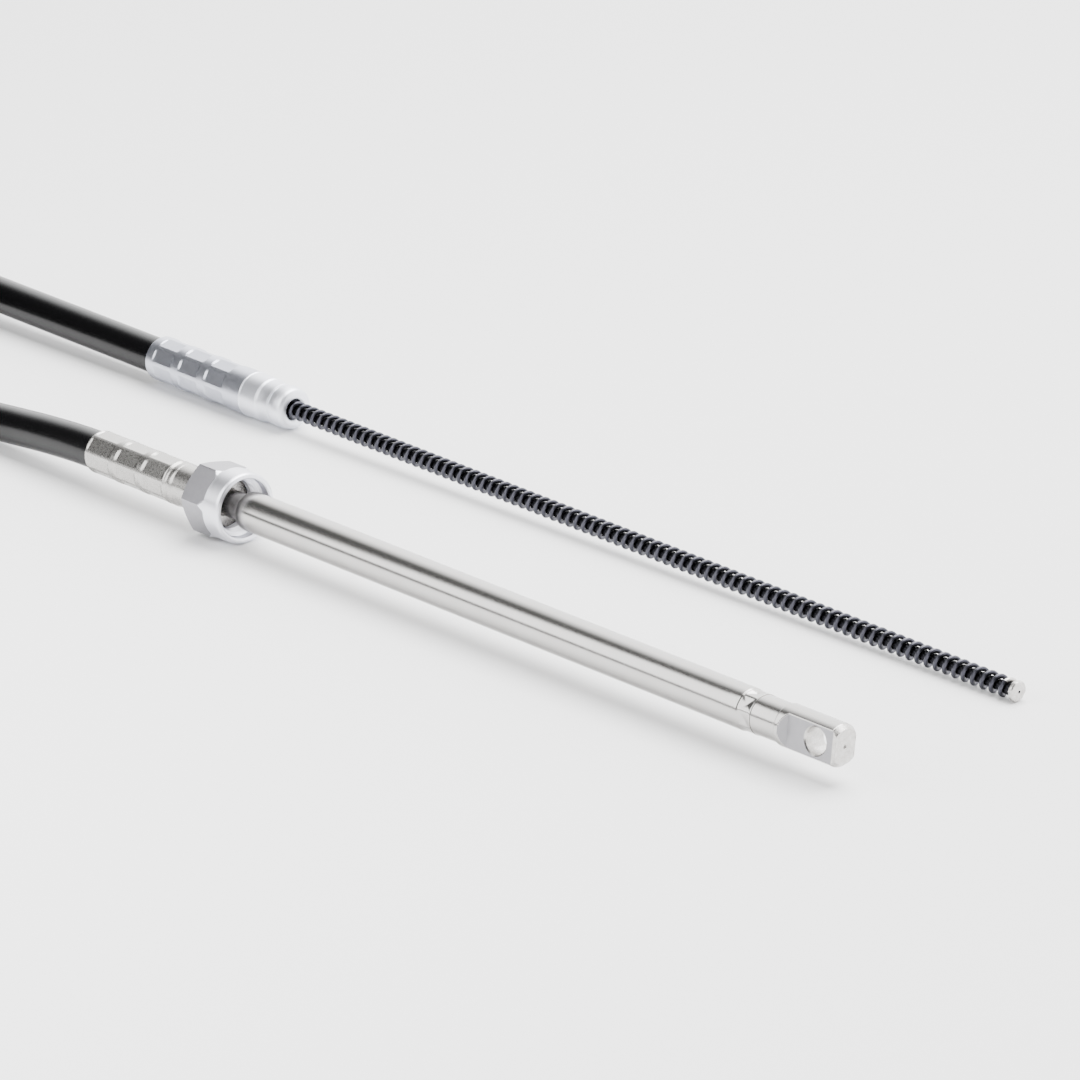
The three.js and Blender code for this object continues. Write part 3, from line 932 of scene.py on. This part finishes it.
@dataclass
class Ram:
    """The ground stainless tube that slides on the guide, crimped onto the eye at its front."""

    line: Line  # starts at its rear end
    length: float = 286.7
    radius: float = 7.9375
    bore: float = 5.95
    crimp: float = 6.5
    dimples: int = 8
    dimple_turn_deg: float = 139.5
    dimple_depth: float = 0.75

    def profile(self) -> np.ndarray:
        """The tube's section, with a rounded rear edge and a fine row of points on the crimp."""
        start = self.length - self.crimp
        corners: list[Corner] = [
            (0, self.bore, 0.2), (0, self.radius, 1.0), (start - 0.35, self.radius, 0.1),
            (start, self.radius - 0.28, 0.1), (self.length, self.radius - 0.28, 0.1),
            (self.length, self.bore, 0),
        ]
        return refine(
            soften(corners, closed=True),
            lambda middle: 0.3 if middle[0] > start - 1 and middle[1] > self.bore + 0.5 else 8.0,
            closed=True,
        )

    def press(self, station: np.ndarray, radius: np.ndarray, angle: np.ndarray) -> np.ndarray:
        """Presses the crimp's square dimples.

        Returns:
            The radius less the depth times a four-sided pyramid: 1 - the larger of the distances
            from the dimple's middle, along and round, as shares of its half sides.
        """
        off = off_nearest(angle, self.dimple_turn_deg, self.dimples)
        half = self.crimp / 2 - 0.35
        along = np.abs(station - (self.length - self.crimp / 2)) / half
        round_ = np.abs(off) / (math.pi / self.dimples * 0.9)
        deep = np.clip(1 - np.maximum(along, round_), 0, 1)
        return radius - np.where(radius > self.bore + 1, self.dimple_depth * deep, 0)

    def build(self) -> bpy.types.Object:
        """Makes the tube."""
        grid = turned_grid(self.line, self.profile(), even_columns(144), self.press)
        piece = make_piece("ground_ram_tube", grid, [GROUND_STEEL], ring=True, sharp_deg=14)
        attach(piece, "ram")
        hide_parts("ram_tube")
        LOG.info("ram: %d faces", len(piece.data.polygons))
        return piece


@dataclass
class RamEye:
    """The end fitting: a turned bar with two milled flats and a cross hole."""

    line: Line  # starts at the ram's rear end
    shank: tuple[float, float] = (268.0, 5.65)
    neck: tuple[float, float] = (286.75, 7.45)
    waist: tuple[float, float] = (289.8, 7.4)
    shoulder: float = 298.9
    radius: float = 7.9375
    flat: float = 302.8
    ramp: float = 2.4
    thick: float = 9.8
    hole: float = 316.5
    hole_radius: float = 5.0
    end: float = 326.3
    turn_deg: float = 6.0
    ring_depth: float = 0.07  # of the turned rings on the end face
    ring_gap: float = 1.5

    def profile(self) -> np.ndarray:
        """The bar's section, from its hidden shank to its end face with fine turned rings."""
        (shank, shank_r), (neck, neck_r), (waist, waist_r) = self.shank, self.neck, self.waist
        corners: list[Corner] = [
            (shank, 0.8, 0), (shank, shank_r, 0.2), (neck, shank_r, 0), (neck, neck_r, 0.15),
            (waist, waist_r, 0.6), (self.shoulder - 0.45, waist_r - 0.05, 0.06),
            (self.shoulder + 0.2, self.radius, 0.06),
            (self.end - 1.9, self.radius, 0.15), (self.end, self.radius - 1.5, 0.1),
        ]
        body = refine(soften(corners), 0.28)
        face = np.arange(self.radius - 1.8, 0.9, -0.2)
        groove = self.ring_depth * np.sin(TAU * face / self.ring_gap)
        rings = np.stack([self.end - self.ring_depth + groove, face], -1)
        centre = np.array([[self.end - 0.1, 0.8], [self.end - 0.7, 0.45], [self.end - 1.0, 0.15]])
        return np.concatenate([body, rings, centre])

    def mill(self, station: np.ndarray, radius: np.ndarray, angle: np.ndarray) -> np.ndarray:
        """Mills the two flats.

        Returns:
            The smaller of the turned radius and the flat's distance / |cos(angle)|. In the run-out
            that distance grows evenly with the way back.
        """
        off = angle + math.radians(self.turn_deg)
        back = np.clip((self.flat - station) / self.ramp, 0, None)
        depth = self.thick / 2 + (self.radius - self.thick / 2) * back
        return np.minimum(radius, depth / np.maximum(np.abs(np.cos(off)), 1e-3))

    def cutter(self) -> bpy.types.Object:
        """A pin with flared ends that cuts the hole and its chamfers."""
        a = math.radians(-self.turn_deg)
        centre = self.line.place(np.array(self.hole), np.array(0.0), np.array(0.0))
        across = np.array([0.0, math.cos(a), math.sin(a)])
        half, flare = self.thick / 2, 0.5
        profile = np.array([
            (-half - 2, self.hole_radius + flare + 2), (-half + flare, self.hole_radius),
            (half - flare, self.hole_radius), (half + 2, self.hole_radius + flare + 2),
        ])
        angle = even_columns(96)
        up = np.cross(self.line.along, across)
        round_ = np.cos(angle)[:, None] * self.line.along + np.sin(angle)[:, None] * up
        grid = centre + profile[:, :1, None] * across + profile[:, 1:, None] * round_[None]
        return make_piece("hole_cutter", grid, [CUT_STEEL_AND_HIGHLIGHT])

    def build(self) -> bpy.types.Object:
        """Makes the fitting: pressed steel behind, milled flats, bright hole and end, and a painted
        highlight ring at the shoulder.
        """
        profile = self.profile()
        angles = even_columns(180) - math.radians(self.turn_deg)
        grid = turned_grid(self.line, profile, angles, self.mill)
        piece = make_piece(
            "milled_ram_eye", grid, [GROUND_STEEL, MILLED_STEEL, CUT_STEEL_AND_HIGHLIGHT],
            sharp_deg=EYE_SHARP_DEG,
        )
        station, radius = profile.T
        rows, columns = grid.shape[:2]
        milled = self.mill(station[:, None], radius[:, None], angles[None])
        chosen = np.where(milled < radius[:, None] - 0.02, 1, 0)
        chosen[station > self.end - 1.75] = 2
        # Painted highlight: a thin ring at the shoulder gets the near-white cut finish, standing
        # for the bright line of light along its edge
        chosen[np.abs(station - self.shoulder + 0.1) < 0.32] = 2
        quads = (rows - 1) * columns
        both = np.concatenate([chosen[:-1].ravel(), np.full(len(piece.data.polygons) - quads, 2)])
        piece.data.polygons.foreach_set("material_index", both.astype(np.int32))
        cutter = self.cutter()
        modifier = piece.modifiers.new("hole", "BOOLEAN")
        modifier.object, modifier.operation, modifier.solver = cutter, "DIFFERENCE", "EXACT"
        modifier.material_mode = "TRANSFER"
        graph = bpy.context.evaluated_depsgraph_get()
        cut = bpy.data.meshes.new_from_object(piece.evaluated_get(graph))
        piece.modifiers.clear()
        piece.data = cut
        cut.shade_smooth()
        cut.set_sharp_from_angle(angle=math.radians(EYE_SHARP_DEG))
        bpy.data.objects.remove(cutter)
        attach(piece, "ram")
        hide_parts("ram_eye")
        LOG.info("ram eye: %d faces", len(cut.polygons))
        return piece


@dataclass
class Studio:
    """A white table, soft light and the photograph's camera."""

    camera_place: Point = (1345.38, -1169.69, 656.37)
    azimuth_deg: float = 48.003
    elevation_deg: float = 19.946
    lens_mm: float = 163.15
    sensor_mm: float = 36.0
    table_half: float = 6000.0
    cloth: float = 4.2  # brightness of the tent's cloth
    gap: float = 0.1  # brightness of the room in front
    cloth_edge: tuple[float, float] = (-0.08, 0.5)  # Y of the directions where the cloth begins

    def build_camera(self) -> None:
        """Makes the camera at the photograph's viewing angle."""
        data = bpy.data.cameras.new("camera")
        data.lens, data.sensor_width, data.clip_end = self.lens_mm, self.sensor_mm, 100
        camera = bpy.data.objects.new("camera", data)
        camera.location = [c * MM for c in self.camera_place]
        tilt, turn = math.radians(90 - self.elevation_deg), math.radians(self.azimuth_deg)
        camera.rotation_euler = (tilt, 0, turn)
        bpy.context.scene.collection.objects.link(camera)
        bpy.context.scene.camera = camera

    def build_table(self) -> None:
        """Makes the white table: one flat square at the floor's height."""
        h = self.table_half * MM
        mesh = bpy.data.meshes.new("table")
        mesh.from_pydata([(-h, -h, 0), (h, -h, 0), (h, h, 0), (-h, h, 0)], [], [(0, 1, 2, 3)])
        material = bpy.data.materials.new("white table")
        material.use_nodes = True
        shader = material.node_tree.nodes["Principled BSDF"]
        shader.inputs["Base Color"].default_value = linear("#f6f6f6")
        shader.inputs["Roughness"].default_value = 0.9
        shader.inputs["Specular IOR Level"].default_value = 0.1
        mesh.materials.append(material)
        table = bpy.data.objects.new("table", mesh)
        bpy.context.scene.collection.objects.link(table)

    def build_sky(self) -> None:
        """Makes the white tent, seen in the metal: bright cloth behind, and a dark room in front.

        The room above the front panel gives the steel its dark band.
        """
        world = bpy.data.worlds.new("tent")
        world.use_nodes = True
        tree = world.node_tree
        tree.nodes.clear()
        place = add_node(tree, "ShaderNodeTexCoord").outputs["Generated"]
        axes = add_node(tree, "ShaderNodeSeparateXYZ", {"Vector": place})
        dark, full = self.cloth_edge
        cloth = add_node(
            tree, "ShaderNodeMapRange",
            {
                "Value": axes.outputs["Y"], "From Min": dark, "From Max": full,
                "To Min": self.gap, "To Max": self.cloth,
            },
            interpolation_type="SMOOTHSTEP",
        )
        background = add_node(tree, "ShaderNodeBackground", {"Strength": cloth.outputs[0]})
        background.inputs["Color"].default_value = (1, 1, 1, 1)
        add_node(tree, "ShaderNodeOutputWorld", {"Surface": background.outputs[0]})
        bpy.context.scene.world = world

    def build_lamp(
        self, name: str, place: Point, aim: Point, size: tuple[float, float], watts: float
    ) -> None:
        """Makes a soft rectangular lamp.

        Args:
            name: the lamp's name.
            place: where its middle is, in metres.
            aim: the point that it faces, in metres.
            size: its width and height, in metres.
            watts: its power.
        """
        data = bpy.data.lights.new(name, "AREA")
        data.shape = "RECTANGLE"
        data.size, data.size_y = size
        data.energy = watts
        lamp = bpy.data.objects.new(name, data)
        lamp.location = place
        back = np.subtract(place, aim)
        flat = math.hypot(back[0], back[1])
        lamp.rotation_euler = (math.atan2(flat, back[2]), 0, math.atan2(back[0], -back[1]))
        bpy.context.scene.collection.objects.link(lamp)

    def build(self) -> None:
        """Makes everything round the object but the camera."""
        self.build_table()
        self.build_sky()
        self.build_lamp(
            "ceiling", place=(0.0, 0.7, 2.2), aim=(0.0, 0.0, 0.0), size=(2.2, 2.2), watts=150
        )
        # Its inner upright edge ends the ram's bright band, which narrows towards the nut
        self.build_lamp(
            "front panel", place=(-0.115, -0.6, 0.55), aim=(0.385, 0.03, 0.55), size=(0.8, 0.9),
            watts=10.5,
        )
        LOG.info("studio")


def centre_line_of(node: str, frame: dict, along: np.ndarray) -> Line:
    """The centre line of a turned CAD node.

    Args:
        node: the node's name.
        along: the line's direction.

    Returns:
        The line through the mean of the node's points, started level with its rearmost point.
    """
    data = frame["nodes"][node].data
    points = np.zeros(len(data.vertices) * 3)
    data.vertices.foreach_get("co", points)
    points = points.reshape(-1, 3) / MM
    middle = points.mean(0)
    rear = ((points - middle) @ along).min()
    return Line(middle + rear * along, along)


def main() -> None:
    """Builds the cable's sub-assemblies in order."""
    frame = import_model()
    studio = Studio()
    studio.build_camera()

    slide = next(j for j in frame["joints"] if j["name"] == "core_slide")
    lean = np.array(slide["axis"], float)
    lean /= np.linalg.norm(lean)
    ram_line = centre_line_of("ram_tube", frame, np.array([1.0, 0.0, 0.0]))
    ferrule_line = centre_line_of("helm_ferrule", frame, lean)
    nose = Line(ferrule_line.start + HelmFerrule.length * lean, lean)

    Conduit(offset=ram_line.start - np.array([0.0, 0.0, ROUTE_RAM_HEIGHT])).build()
    HelmFerrule(nose).build()
    HelicalCore(nose).build()
    OutputFerrule(ram_line).build()
    GuideTube(ram_line).build()
    CouplingNut(ram_line).build()
    Ram(ram_line).build()
    RamEye(ram_line).build()
    studio.build()


if __name__ == "__main__":
    logging.basicConfig(level=logging.INFO)
    main()
